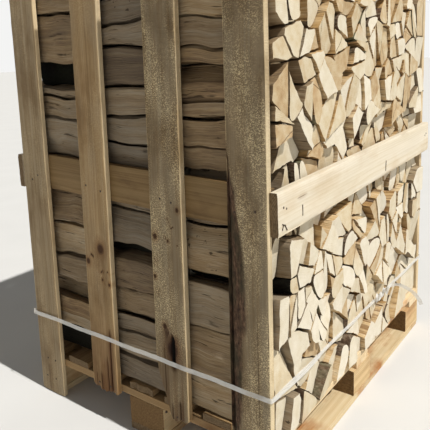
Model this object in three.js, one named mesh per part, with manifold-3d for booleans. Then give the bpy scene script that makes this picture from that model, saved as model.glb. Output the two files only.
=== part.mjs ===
// A palletised crate of split, dried firewood.
// A nine-block timber pallet carries four slats on its left side and four on its right,
// rails tie the slats at mid height and at the top, three tiers of short split logs are
// stacked between them with their sawn ends to the front, and one plastic strap goes round low down.
//
// Millimetres, +Z up. X runs along the front, where the log ends show, from left to right.
// Y runs from the front to the back. The origin is on the ground under the middle of the crate.

import * as THREE from 'three';
import Module from 'manifold-3d';
import { mergeVertices } from 'three/addons/utils/BufferGeometryUtils.js';

// ---------- driving dimensions ----------

const GAP = 0.3; // clearance between pieces that touch

const PALLET_WIDTH = 1200; // along X
const PALLET_DEPTH = 1000; // along Y
const BOTTOM_BOARD = 24; // thickness of the three boards on the ground
const BLOCK_HEIGHT = 90;
const STRINGER = 28; // thickness of the three boards on the blocks
const DECK_BOARD = 22;
const DECK_BOARD_WIDTH = 100;
const DECK_BOARD_COUNT = 7;
const BLOCK_LENGTH = 145; // along X, and along Y in the middle row
const BLOCK_WIDTH = 100; // along Y in the front and back rows

const CRATE_HEIGHT = 1600;
const SLAT_THICKNESS = 23;
const RAIL_THICKNESS = 23;
const RAIL_HEIGHT = 115;
const MIDDLE_RAIL_Z = 820; // centre line of the rails at mid height
const TOP_RAIL_Z = 1535; // centre line of the rails at the top
const CROSS_RAIL_LENGTH = 1231; // front and back rails, nailed on the slats' edges
const CROSS_RAIL_SHIFT = 4.5; // how far they sit to the right of the middle
const SIDE_RAIL_LENGTH = 990;

const LOG_TIP = 518; // how far the furthest log end stands from the middle, along Y
const LOG_FLUSH = 496; // the same where a strap or a rail crosses the ends
const TIER_HALF_DEPTH = 166; // of the middle tier
const TIER_GAP = 8; // between two tiers
const LOG_TOP = 1572;

const STRAP_WIDTH = 15.5;
const STRAP_THICKNESS = 1;
const STRAP_Z = 304;
const STRAP_CORNER = 3;

// ---------- heights that follow from them ----------

const BLOCK_Z = BOTTOM_BOARD + GAP;
const STRINGER_Z = BLOCK_Z + BLOCK_HEIGHT + GAP;
const DECK_Z = STRINGER_Z + STRINGER + GAP;
const DECK_TOP = DECK_Z + DECK_BOARD;
const SIDE_X = PALLET_WIDTH / 2; // plane of the pallet's left and right edges
const SLAT_OUTER_X = SIDE_X + GAP + SLAT_THICKNESS;

// ---------- materials ----------

const finish = (color, roughness = 0.85) => (
  () => new THREE.MeshStandardMaterial({ color, roughness, metalness: 0 })
);
const palletWood = finish('#dcb988');
const blockWood = finish('#d2ac78');
const slatWood = finish('#c9a877');
const railWood = finish('#dfc294', 0.8);
const logWood = finish('#d9c7a2', 0.9);
const strapPlastic = finish('#e9e7e0', 0.45);

// ---------- helpers ----------

const crate = new THREE.Group();

function addPiece(name, geometry, material, position = [0, 0, 0], rotation = [0, 0, 0]) {
  const mesh = new THREE.Mesh(geometry, material());
  mesh.name = name;
  mesh.position.set(...position);
  mesh.rotation.set(...rotation);
  crate.add(mesh);
  return mesh;
}

// A plain board, given by its size along X, Y and Z and the place of its middle.
function addBoard(name, size, middle, material, rotation) {
  return addPiece(name, new THREE.BoxGeometry(...size), material, middle, rotation);
}

// A board cut to an outline in its own plane: u runs along Y, v up, the thickness along X.
function outlineBoard(outline, thickness) {
  const shape = new THREE.Shape(outline.map(([u, v]) => new THREE.Vector2(u, v)));
  const geometry = new THREE.ExtrudeGeometry(shape, { depth: thickness, bevelEnabled: false });
  const alongYZX = new THREE.Matrix4().makeBasis(
    new THREE.Vector3(0, 1, 0),
    new THREE.Vector3(0, 0, 1),
    new THREE.Vector3(1, 0, 0),
  );
  geometry.applyMatrix4(alongYZX);
  return geometry;
}

// ---------- the pallet ----------

const BLOCK_ROWS = [
  { name: 'front', y: -(PALLET_DEPTH - BLOCK_WIDTH) / 2, depth: BLOCK_WIDTH },
  { name: 'middle', y: -20, depth: BLOCK_LENGTH },
  { name: 'back', y: (PALLET_DEPTH - BLOCK_WIDTH) / 2, depth: BLOCK_WIDTH },
];
const BLOCK_COLUMNS = [
  { name: 'left', x: -(PALLET_WIDTH - BLOCK_LENGTH) / 2 },
  { name: 'centre', x: -10 },
  { name: 'right', x: (PALLET_WIDTH - BLOCK_LENGTH) / 2 },
];
const STRINGER_WIDTH = 100;

for (const row of BLOCK_ROWS) {
  addBoard(
    `bottom_board_${row.name}`,
    [PALLET_WIDTH, row.depth, BOTTOM_BOARD],
    [0, row.y, BOTTOM_BOARD / 2],
    palletWood,
  );
  for (const column of BLOCK_COLUMNS) {
    addBoard(
      `block_${row.name}_${column.name}`,
      [BLOCK_LENGTH, row.depth, BLOCK_HEIGHT],
      [column.x, row.y, BLOCK_Z + BLOCK_HEIGHT / 2],
      blockWood,
    );
  }
}

// The outer stringers are flush with the pallet's edges, the middle one is centred on its blocks.
const STRINGER_REACH = (PALLET_WIDTH - STRINGER_WIDTH) / 2;
const STRINGER_X = { left: -STRINGER_REACH, centre: -10, right: STRINGER_REACH };
for (const [side, x] of Object.entries(STRINGER_X)) {
  addBoard(
    `stringer_${side}`,
    [STRINGER_WIDTH, PALLET_DEPTH, STRINGER],
    [x, 0, STRINGER_Z + STRINGER / 2],
    palletWood,
  );
}

const DECK_PITCH = (PALLET_DEPTH - DECK_BOARD_WIDTH) / (DECK_BOARD_COUNT - 1);
for (let i = 0; i < DECK_BOARD_COUNT; i += 1) {
  addBoard(
    `deck_board_${i + 1}`,
    [PALLET_WIDTH, DECK_BOARD_WIDTH, DECK_BOARD],
    [0, -(PALLET_DEPTH - DECK_BOARD_WIDTH) / 2 + i * DECK_PITCH, DECK_Z + DECK_BOARD / 2],
    palletWood,
  );
}

// ---------- the slats ----------

// Outlines are in the slat's own plane, u towards the back, v up from the ground.
// lean is how far the slat's head leans to the front, in millimetres per metre.
const LEFT_SLATS = [
  { // the back corner, long enough to cover its block
    y: 435.6,
    lean: 9.6,
    outline: [[60, 4], [60, 1598], [-60, 1600], [-60, 3]],
  },
  { // ends under the stringer with a splintered foot
    y: 148.9,
    lean: 19,
    outline: [[57, 118], [57, 1596], [-57, 1597], [-57, 108], [-28, 111], [8, 104], [34, 113]],
  },
  { // broken off on the slant at its foot
    y: -147.9,
    lean: 17,
    outline: [[58, 288], [58, 1599], [-58, 1598], [-58, 128], [-30, 121], [4, 116], [26, 190]],
  },
  { // the near corner, with a wane along its back edge that widens downwards
    y: -436.5,
    lean: 7,
    outline: [[67, 5], [66, 300], [64, 560], [60, 870], [59, 1597], [-59, 1600], [-59, 4]],
  },
];
const RIGHT_SLATS = [
  { y: 437, lean: 3, outline: [[58, 4], [58, 1597], [-58, 1599], [-58, 5]] },
  { y: 152, lean: -6, outline: [[56, 112], [56, 1600], [-56, 1597], [-56, 109], [-10, 114]] },
  { y: -146, lean: 5, outline: [[60, 110], [60, 1596], [-60, 1599], [-60, 116], [20, 106]] },
  { y: -437, lean: 5, outline: [[59, 6], [59, 1600], [-59, 1597], [-59, 4]] },
];

function addSlats(side, x, slats) {
  slats.forEach((slat, i) => {
    addPiece(
      `slat_${side}_${i + 1}`,
      outlineBoard(slat.outline, SLAT_THICKNESS),
      slatWood,
      [x, slat.y, 0],
      [Math.atan(slat.lean / 1000), 0, 0],
    );
  });
}
addSlats('left', -SLAT_OUTER_X, LEFT_SLATS);
addSlats('right', SIDE_X + GAP, RIGHT_SLATS);

// ---------- the rails ----------

// Left and right rails lie inside the slats. Front and back rails cross the slats' edges outside.
// tilt is in millimetres per metre, and raises the end at +Y or +X.
const SIDE_RAIL_X = SIDE_X - RAIL_THICKNESS / 2;
const SIDE_RAILS = [
  { name: 'rail_left_middle', x: -SIDE_RAIL_X, z: MIDDLE_RAIL_Z, tilt: 26 },
  { name: 'rail_left_top', x: -SIDE_RAIL_X, z: TOP_RAIL_Z, tilt: 3 },
  { name: 'rail_right_middle', x: SIDE_RAIL_X, z: MIDDLE_RAIL_Z, tilt: -4 },
  { name: 'rail_right_top', x: SIDE_RAIL_X, z: TOP_RAIL_Z, tilt: 0 },
];
for (const rail of SIDE_RAILS) {
  addBoard(
    rail.name,
    [RAIL_THICKNESS, SIDE_RAIL_LENGTH, RAIL_HEIGHT],
    [rail.x, 0, rail.z],
    railWood,
    [Math.atan(rail.tilt / 1000), 0, 0],
  );
}

const CROSS_RAILS = [
  { name: 'rail_front_middle', face: -502.4, z: MIDDLE_RAIL_Z - 2, tilt: 24 },
  { name: 'rail_front_top', face: -507.4, z: TOP_RAIL_Z, tilt: -4 },
  { name: 'rail_back_middle', face: 502.4, z: MIDDLE_RAIL_Z + 6, tilt: 5 },
  { name: 'rail_back_top', face: 507.4, z: TOP_RAIL_Z, tilt: 3 },
];
for (const rail of CROSS_RAILS) {
  const outward = Math.sign(rail.face);
  addBoard(
    rail.name,
    [CROSS_RAIL_LENGTH, RAIL_THICKNESS, RAIL_HEIGHT],
    [CROSS_RAIL_SHIFT, rail.face + (outward * RAIL_THICKNESS) / 2, rail.z],
    railWood,
    [0, -Math.atan(rail.tilt / 1000), 0],
  );
}

// ---------- the three tiers of logs ----------

// Each tier is one closed solid that reaches the tips of its logs. Its profile runs in Y and Z:
// the ends stand proud of the pallet, but not where the strap or a rail crosses them.
const wasm = await Module();
wasm.setup();

function toManifold(geometry) {
  const bare = geometry.clone();
  bare.deleteAttribute('normal');
  bare.deleteAttribute('uv');
  const merged = mergeVertices(bare);
  return new wasm.Manifold(new wasm.Mesh({
    numProp: 3,
    vertProperties: new Float32Array(merged.attributes.position.array),
    triVerts: new Uint32Array(merged.index.array),
  }));
}

function toGeometry(manifold) {
  const mesh = manifold.getMesh();
  const geometry = new THREE.BufferGeometry();
  geometry.setAttribute('position', new THREE.BufferAttribute(mesh.vertProperties, 3));
  geometry.setIndex(new THREE.BufferAttribute(mesh.triVerts, 1));
  geometry.computeVertexNormals();
  return geometry;
}

const LOG_BOTTOM = DECK_TOP + GAP;
const STRAP_CLEAR = 30; // height kept flush above and below the strap's centre line
const RAIL_CLEAR = 76; // the same for a rail and its tilt
const TIER_HALF_WIDTH = SIDE_X - 2;

// The ends' outline from bottom to top, as [distance from the middle, height] pairs.
const LOG_END_PROFILE = [
  [LOG_TIP, LOG_BOTTOM],
  [LOG_TIP, STRAP_Z - STRAP_CLEAR],
  [LOG_FLUSH, STRAP_Z - STRAP_CLEAR],
  [LOG_FLUSH, STRAP_Z + STRAP_CLEAR],
  [LOG_TIP, STRAP_Z + STRAP_CLEAR],
  [LOG_TIP, MIDDLE_RAIL_Z - RAIL_CLEAR],
  [LOG_FLUSH, MIDDLE_RAIL_Z - RAIL_CLEAR],
  [LOG_FLUSH, MIDDLE_RAIL_Z + RAIL_CLEAR],
  [LOG_TIP, MIDDLE_RAIL_Z + RAIL_CLEAR],
  [LOG_TIP, TOP_RAIL_Z - RAIL_CLEAR],
  [LOG_FLUSH, TOP_RAIL_Z - RAIL_CLEAR],
  [LOG_FLUSH, LOG_TOP],
];

function tierOutline(inner, outer) {
  const ends = LOG_END_PROFILE.map(([distance, z]) => [Math.sign(outer) * distance, z]);
  const inside = [[inner, LOG_TOP], [inner, LOG_BOTTOM]];
  const outline = [...ends, ...inside];
  return outer > 0 ? outline : outline.reverse();
}

function railNotches() {
  const depth = RAIL_THICKNESS + GAP + 2;
  return SIDE_RAILS.map((rail) => {
    const notch = new THREE.BoxGeometry(depth * 2, PALLET_DEPTH + 200, RAIL_CLEAR * 2);
    notch.translate(Math.sign(rail.x) * SIDE_X, 0, rail.z);
    return toManifold(notch);
  });
}
const notches = railNotches();

function addTier(name, outline) {
  const block = outlineBoard(outline, TIER_HALF_WIDTH * 2);
  block.translate(-TIER_HALF_WIDTH, 0, 0);
  let solid = toManifold(block);
  for (const notch of notches) {
    solid = solid.subtract(notch);
  }
  addPiece(name, toGeometry(solid), logWood);
}

const MIDDLE_OUTLINE = [
  [-TIER_HALF_DEPTH, LOG_BOTTOM],
  [TIER_HALF_DEPTH, LOG_BOTTOM],
  [TIER_HALF_DEPTH, LOG_TOP],
  [-TIER_HALF_DEPTH, LOG_TOP],
];
addTier('logs_front', tierOutline(-(TIER_HALF_DEPTH + TIER_GAP), -1));
addTier('logs_middle', MIDDLE_OUTLINE);
addTier('logs_back', tierOutline(TIER_HALF_DEPTH + TIER_GAP, 1));

// ---------- the strap, its knot and its free tail ----------

function roundedRectangle(target, halfX, halfY, radius) {
  target.moveTo(-halfX + radius, -halfY);
  target.lineTo(halfX - radius, -halfY);
  target.absarc(halfX - radius, -halfY + radius, radius, -Math.PI / 2, 0);
  target.lineTo(halfX, halfY - radius);
  target.absarc(halfX - radius, halfY - radius, radius, 0, Math.PI / 2);
  target.lineTo(-halfX + radius, halfY);
  target.absarc(-halfX + radius, halfY - radius, radius, Math.PI / 2, Math.PI);
  target.lineTo(-halfX, -halfY + radius);
  target.absarc(-halfX + radius, -halfY + radius, radius, Math.PI, Math.PI * 1.5);
  return target;
}

const STRAP_HALF_X = SLAT_OUTER_X + GAP;
const STRAP_HALF_Y = 501.5;
const strapRing = roundedRectangle(
  new THREE.Shape(),
  STRAP_HALF_X + STRAP_THICKNESS,
  STRAP_HALF_Y + STRAP_THICKNESS,
  STRAP_CORNER + STRAP_THICKNESS,
);
strapRing.holes.push(roundedRectangle(new THREE.Path(), STRAP_HALF_X, STRAP_HALF_Y, STRAP_CORNER));
const strapLoop = new THREE.ExtrudeGeometry(
  strapRing,
  { depth: STRAP_WIDTH, bevelEnabled: false, curveSegments: 3 },
);
addPiece('strap_loop', strapLoop, strapPlastic, [0, 0, STRAP_Z - STRAP_WIDTH / 2]);

const KNOT = { left: 88, right: 206, height: 34, depth: 12, z: 311 };
const KNOT_BACK = -(STRAP_HALF_Y + STRAP_THICKNESS + GAP);
addBoard(
  'strap_knot',
  [KNOT.right - KNOT.left, KNOT.depth, KNOT.height],
  [(KNOT.left + KNOT.right) / 2, KNOT_BACK - KNOT.depth / 2, KNOT.z],
  strapPlastic,
);

// The tail leaves the knot's right end, rises a little and then bends down and outwards.
const TAIL_ROUTE = [
  [206.4, -509, 313],
  [218.9, -509.9, 313.1],
  [232, -511, 312.5],
  [246.2, -512.8, 310],
  [262, -515, 306],
  [280, -517.7, 301.1],
  [300, -521, 294],
  [322.5, -525.2, 283.1],
  [346, -530, 270],
  [369.5, -535, 255.6],
  [392, -540, 240],
  [412.5, -544.7, 223.3],
  [430, -549, 207],
  [442.6, -552.8, 192.8],
  [452, -556, 180],
  [458.6, -558.2, 168.7],
  [464, -560, 158],
];
const TAIL_DIAMETER = 6;
const TAIL_STEPS = 22;
const TAIL_SIDES = 8;
const tailSection = new THREE.Shape(
  Array.from({ length: TAIL_SIDES }, (_, i) => {
    const angle = (i * 2 * Math.PI) / TAIL_SIDES;
    const radius = TAIL_DIAMETER / 2;
    return new THREE.Vector2(radius * Math.cos(angle), radius * Math.sin(angle));
  }),
);
const tailPath = new THREE.CatmullRomCurve3(TAIL_ROUTE.map((point) => new THREE.Vector3(...point)));
const tail = new THREE.ExtrudeGeometry(tailSection, { steps: TAIL_STEPS, extrudePath: tailPath });
addPiece('strap_tail', tail, strapPlastic);

export default crate;
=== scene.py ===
import random
from math import atan, copysign, cos, pi, radians, sin, sqrt

import bmesh
import bpy
import numpy as np
from mathutils import Matrix, Vector


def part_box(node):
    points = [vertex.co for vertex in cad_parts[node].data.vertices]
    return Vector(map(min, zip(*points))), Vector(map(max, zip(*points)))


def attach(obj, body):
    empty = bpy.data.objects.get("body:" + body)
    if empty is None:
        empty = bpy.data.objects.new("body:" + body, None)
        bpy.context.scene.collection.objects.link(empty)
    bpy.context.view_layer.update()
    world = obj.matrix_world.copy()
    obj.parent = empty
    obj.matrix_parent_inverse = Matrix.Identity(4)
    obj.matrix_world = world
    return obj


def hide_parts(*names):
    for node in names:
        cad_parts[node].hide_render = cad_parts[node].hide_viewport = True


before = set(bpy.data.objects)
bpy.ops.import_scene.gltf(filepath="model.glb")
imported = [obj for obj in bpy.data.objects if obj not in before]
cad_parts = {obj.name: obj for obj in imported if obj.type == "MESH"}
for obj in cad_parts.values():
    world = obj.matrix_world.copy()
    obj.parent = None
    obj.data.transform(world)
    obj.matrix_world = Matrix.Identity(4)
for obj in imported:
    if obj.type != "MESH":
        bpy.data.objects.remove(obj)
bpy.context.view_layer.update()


# ---------- The camera ----------
# It stands off the crate's near left corner, a little below the top of the load, and looks
# down at the strap, so the left side falls away to the back and the front falls away to the right.

CAMERA_PLACE = (-1.7725, -1.2098, 1.2005)
CAMERA_RIGHT = Vector((0.59339, -0.80400, -0.03823))
CAMERA_UP = Vector((0.15660, 0.06873, 0.98527))
CAMERA_LENS = 47.51
CAMERA_SHIFT = -0.151

camera_data = bpy.data.cameras.new("crate_camera")
camera_data.lens = CAMERA_LENS
camera_data.shift_y = CAMERA_SHIFT
camera = bpy.data.objects.new("crate_camera", camera_data)
bpy.context.scene.collection.objects.link(camera)
camera_back = CAMERA_RIGHT.cross(CAMERA_UP)
camera_turn = Matrix((CAMERA_RIGHT, CAMERA_UP, camera_back)).transposed()
camera.matrix_world = Matrix.Translation(CAMERA_PLACE) @ camera_turn.to_4x4()
bpy.context.scene.camera = camera


# ---------- The strap's free tail ----------
# What is left of the plastic band after the knot: flat, thin and springy, so it stands out of
# the knot on edge, leans over within a hand's breadth and bows down under its own weight.

BAND_WIDTH = 0.0155
BAND_THICKNESS = 0.0009
TAIL_TURN = 0.1  # length over which the band leans over from standing on edge
TAIL_LEAN = radians(40)
SHARP_EDGE = radians(38)  # an edge that turns more than this is left sharp, on every piece
TAIL_ROUTE = [
    (0.2064, -0.5090, 0.3130), (0.2189, -0.5099, 0.3131), (0.2320, -0.5110, 0.3125),
    (0.2462, -0.5128, 0.3100), (0.2620, -0.5150, 0.3060), (0.2800, -0.5177, 0.3011),
    (0.3000, -0.5210, 0.2940), (0.3225, -0.5252, 0.2831), (0.3460, -0.5300, 0.2700),
    (0.3695, -0.5350, 0.2556), (0.3920, -0.5400, 0.2400), (0.4125, -0.5447, 0.2233),
    (0.4300, -0.5490, 0.2070), (0.4426, -0.5528, 0.1928), (0.4520, -0.5560, 0.1800),
    (0.4586, -0.5582, 0.1687), (0.4640, -0.5600, 0.1580),
]


def smooth_route(points, steps):
    """Points along one smooth curve through the given ones."""
    ends = [2 * Vector(points[0]) - Vector(points[1]), 2 * Vector(points[-1]) - Vector(points[-2])]
    knots = [ends[0], *map(Vector, points), ends[1]]
    route = []
    for i in range(1, len(knots) - 2):
        before, here, there, after = knots[i - 1:i + 3]
        for k in range(steps):
            t = k / steps
            route.append(0.5 * (
                2 * here + (there - before) * t
                + (2 * before - 5 * here + 4 * there - after) * t ** 2
                + (3 * here - before - 3 * there + after) * t ** 3
            ))
    route.append(knots[-2])
    return route


def mesh_piece(name, points, faces, materials, slot, kinds=None):
    """A piece of the crate, made from its points and faces, that stays where it is built.

    kinds gives each face the number of its material, where there is more than one.
    """
    mesh = bpy.data.meshes.new(name)
    mesh.from_pydata([tuple(p) for p in points], [], faces)
    for material in materials:
        mesh.materials.append(material)
    if kinds:
        mesh.polygons.foreach_set("material_index", kinds)
    shell = bmesh.new()
    shell.from_mesh(mesh)
    bmesh.ops.recalc_face_normals(shell, faces=shell.faces)
    shell.to_mesh(mesh)
    shell.free()
    mesh.polygons.foreach_set("use_smooth", [True] * len(mesh.polygons))
    mesh.set_sharp_from_angle(angle=SHARP_EDGE)
    piece = bpy.data.objects.new(name, mesh)
    bpy.context.scene.collection.objects.link(piece)
    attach(piece, "root")
    return piece


def tube_faces(rings, count, first=0, joined=False):
    """The faces between rings of count points each, numbered one after another from first."""
    faces = []
    for i in range(rings if joined else rings - 1):
        this, after = first + i * count, first + (i + 1) % rings * count
        for k in range(count):
            j = (k + 1) % count
            faces.append((this + k, this + j, after + j, after + k))
    return faces


# The band's cross-section, as places across it in widths and out of it in thicknesses.
BAND_SECTION = [(-0.5, -0.35), (-0.44, -0.5), (0, -0.62), (0.44, -0.5),
                (0.5, 0.35), (0.44, 0.5), (0, 0.38), (-0.44, 0.5)]


def band_mesh(route, widths, width=BAND_WIDTH, thickness=BAND_THICKNESS, ring=False):
    """A flat band along a route: widths holds the direction of its width at each point."""
    points = []
    count = len(route)
    for i, here in enumerate(route):
        ahead = route[(i + 1) % count] if ring else route[min(i + 1, count - 1)]
        behind = route[i - 1] if ring or i else route[0]
        along = (ahead - behind).normalized()
        across = (widths[i] - along * widths[i].dot(along)).normalized()
        out = along.cross(across)
        points += [here + across * (a * width) + out * (b * thickness) for a, b in BAND_SECTION]
    sides = len(BAND_SECTION)
    faces = tube_faces(count, sides, joined=ring)
    if not ring:
        faces += [tuple(range(sides)), tuple(range((count - 1) * sides, count * sides))]
    return points, faces


def paint(code):
    """A colour from its six-figure code, as the shader wants it."""
    parts = [int(code[i:i + 2], 16) / 255 for i in (0, 2, 4)]
    return (*[c / 12.92 if c < 0.04045 else ((c + 0.055) / 1.055) ** 2.4 for c in parts], 1.0)


class Field:
    """A value or colour that varies over a surface, to reckon with in a material like a number."""

    def __init__(self, socket):
        self.socket = socket
        self.tree = socket.id_data

    def reckoned(self, operation, first, second=0.0):
        return node(self.tree, "ShaderNodeMath", {0: first, 1: second}, operation=operation)

    def made(self, operation):
        return self.reckoned(operation, self)

    def __add__(self, other):
        return self.reckoned("ADD", self, other)

    def __sub__(self, other):
        return self.reckoned("SUBTRACT", self, other)

    def __rsub__(self, other):
        return self.reckoned("SUBTRACT", other, self)

    def __mul__(self, other):
        return self.reckoned("MULTIPLY", self, other)


def node(tree, kind, sockets, output=0, **settings):
    """The output of a new shader node, with its settings made and its sockets filled or linked."""
    made = tree.nodes.new(kind)
    for key, value in settings.items():
        setattr(made, key, value)
    for key, value in sockets.items():
        if isinstance(value, Field):
            tree.links.new(value.socket, made.inputs[key])
        else:
            made.inputs[key].default_value = value
    return Field(made.outputs[output])


def spot_on(tree):
    """The place of each spot of a surface, in metres."""
    return node(tree, "ShaderNodeNewGeometry", {}, "Position")


def stretched(place, scale, shift=(0, 0, 0)):
    return node(place.tree, "ShaderNodeMapping", {"Vector": place, "Scale": scale, "Location": shift})


def mottle(place, scale, detail=3.0, rough=0.55, shift=(0, 0, 0)):
    """Random cloudiness from 0 to 1, with scale lumps to the metre along each axis."""
    sockets = {"Scale": 1.0, "Detail": detail, "Roughness": rough}
    sockets["Vector"] = stretched(place, scale, shift)
    return node(place.tree, "ShaderNodeTexNoise", sockets)


def waves(place, scale, direction, **sockets):
    """Even bands from 0 to 1 in one direction."""
    sockets["Vector"] = stretched(place, scale)
    return node(place.tree, "ShaderNodeTexWave", sockets, 1, bands_direction=direction)


def ranged(value, low, high, to_low=0.0, to_high=1.0):
    sockets = {0: value, 1: low, 2: high, 3: to_low, 4: to_high}
    return node(value.tree, "ShaderNodeMapRange", sockets, clamp=True)


def tints(value, stops):
    """A colour picked from stops of (place, colour code) by a value from 0 to 1."""
    colour = node(value.tree, "ShaderNodeValToRGB", {0: value})
    ramp = colour.socket.node.color_ramp
    while len(ramp.elements) < len(stops):
        ramp.elements.new(0.5)
    for element, (place, code) in zip(ramp.elements, stops):
        element.position = place
        element.color = paint(code)
    return colour


def covered(colour, share, cover, way="MIX"):
    """A colour with a share of another one, given by its code or as a field, laid over it."""
    sockets = {0: share, 6: colour, 7: paint(cover) if isinstance(cover, str) else cover}
    return node(colour.tree, "ShaderNodeMix", sockets, 2, data_type="RGBA", blend_type=way)


def dyed(colour, share, dye):
    return covered(colour, share, dye, "MULTIPLY")


def finish_of(name, roughness, specular):
    """A new material, with its tree and the shader that its look goes into."""
    material = bpy.data.materials.new(name)
    material.use_nodes = True
    shader = material.node_tree.nodes["Principled BSDF"]
    shader.inputs["Roughness"].default_value = roughness
    shader.inputs["Specular IOR Level"].default_value = specular
    return material, material.node_tree, shader


def dress(shader, colour, height=None, depth=0.0, strength=1.0):
    """Gives a material its colour and, from a height field, a relief of some depth in metres."""
    links = colour.tree.links
    links.new(colour.socket, shader.inputs["Base Color"])
    if height:
        sockets = {"Height": height, "Distance": depth, "Strength": strength}
        links.new(node(colour.tree, "ShaderNodeBump", sockets).socket, shader.inputs["Normal"])


def strap_finish(name, cover):
    """Milky white band, pressed all over with a fine slanting lattice and scuffed along its length."""
    material, tree, shader = finish_of(name, 0.38, 0.5)
    spot = spot_on(tree)
    lattice = waves(spot, (420, 420, 420), "DIAGONAL", Scale=0.55, Distortion=0.6)
    milk = tints(mottle(spot, (66, 66, 570), 4.0), [(0.3, "DEDBD3"), (0.5, "F0EEE8"), (0.75, "FAF9F6")])
    dress(shader, covered(milk, ranged(lattice, 0.2, 0.8, 0.0, 0.14), "C9C5BA"), lattice, 0.0003, 0.5)
    shader.inputs["Alpha"].default_value = cover
    return material


milky_band = strap_finish("milky_band", 0.46)

tail_route = smooth_route(TAIL_ROUTE, 5)
tail_run = np.cumsum([0] + [(b - a).length for a, b in zip(tail_route, tail_route[1:])])
tail_widths = []
for run in tail_run:
    turned = min(run / TAIL_TURN, 1) * TAIL_LEAN
    tail_widths.append(Vector((0, -sin(turned), cos(turned))))
tail = mesh_piece("band_tail", *band_mesh(tail_route, tail_widths), [milky_band], "strap_plastic")
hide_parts("strap_tail")


# ---------- The pallet ----------
# Softwood boards and blocks, sawn and nailed: three boards on the ground, nine blocks, three
# stringers across them and seven deck boards on top. Rain and handling have stained the sunny wood.


def lumps(a, b, seed):
    """Smooth random numbers from -1 to 1 over two coordinates, about one lump to a unit."""
    cell_a, cell_b = np.floor(a), np.floor(b)
    part_a, part_b = a - cell_a, b - cell_b
    part_a, part_b = part_a ** 2 * (3 - 2 * part_a), part_b ** 2 * (3 - 2 * part_b)

    def value(i, j):
        return np.modf(np.abs(np.sin(i * 127.1 + j * 311.7 + seed * 74.7) * 43758.5453))[0] * 2 - 1

    low = value(cell_a, cell_b) * (1 - part_a) + value(cell_a + 1, cell_b) * part_a
    high = value(cell_a, cell_b + 1) * (1 - part_a) + value(cell_a + 1, cell_b + 1) * part_a
    return low * (1 - part_b) + high * part_b


def looked_up(value, table):
    """A number read off between the pairs of a table."""
    return np.interp(value, *zip(*table))


def board_section(half, thick, arris, spacing, cracks):
    """Once round a board: the places across it, the depths, and how many places its open face has."""
    flat = np.linspace(-half + arris, half - arris, max(4, round(2 * half / spacing)))
    for across, _, _, opening, _ in cracks:
        flat = flat[np.abs(flat - across) > 1.3 * opening]
        flat = np.append(flat, [across - opening, across, across + opening])
    flat = np.sort(flat)
    count = len(flat)
    round_places = np.concatenate([flat, [half, half], flat[::-1], [-half, -half]])
    depths = [np.zeros(count), [arris, thick - arris], np.full(count, thick), [thick - arris, arris]]
    return round_places, np.concatenate(depths), count


FAR_FROM_KNOTS = 9.0
KNOT_LENGTH = 1.25  # a knot's length along the board for each unit of its width
WAVINESS = 0.0009  # how far an open face rises and falls
SWELLING = 0.0015  # how far the face swells round a knot
ROUGH_FOOT, ROUGH_TOP = 0.0008, 0.0012  # how uneven a board's two sawn ends are


def nearest_knots(u, v, knots):
    """How far each spot lies from its nearest knot, across, along and in all, in knot sizes."""
    near = np.full(u.shape, FAR_FROM_KNOTS)
    aside, along = near, np.zeros(u.shape)
    for across, up, radius in knots:
        du, dv = (u - across) / radius, (v - up) / (radius * KNOT_LENGTH)
        away = np.hypot(du, dv)
        aside = np.where(away < near, du, aside)
        along = np.where(away < near, dv, along)
        near = np.minimum(near, away)
    return aside, along, near


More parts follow.
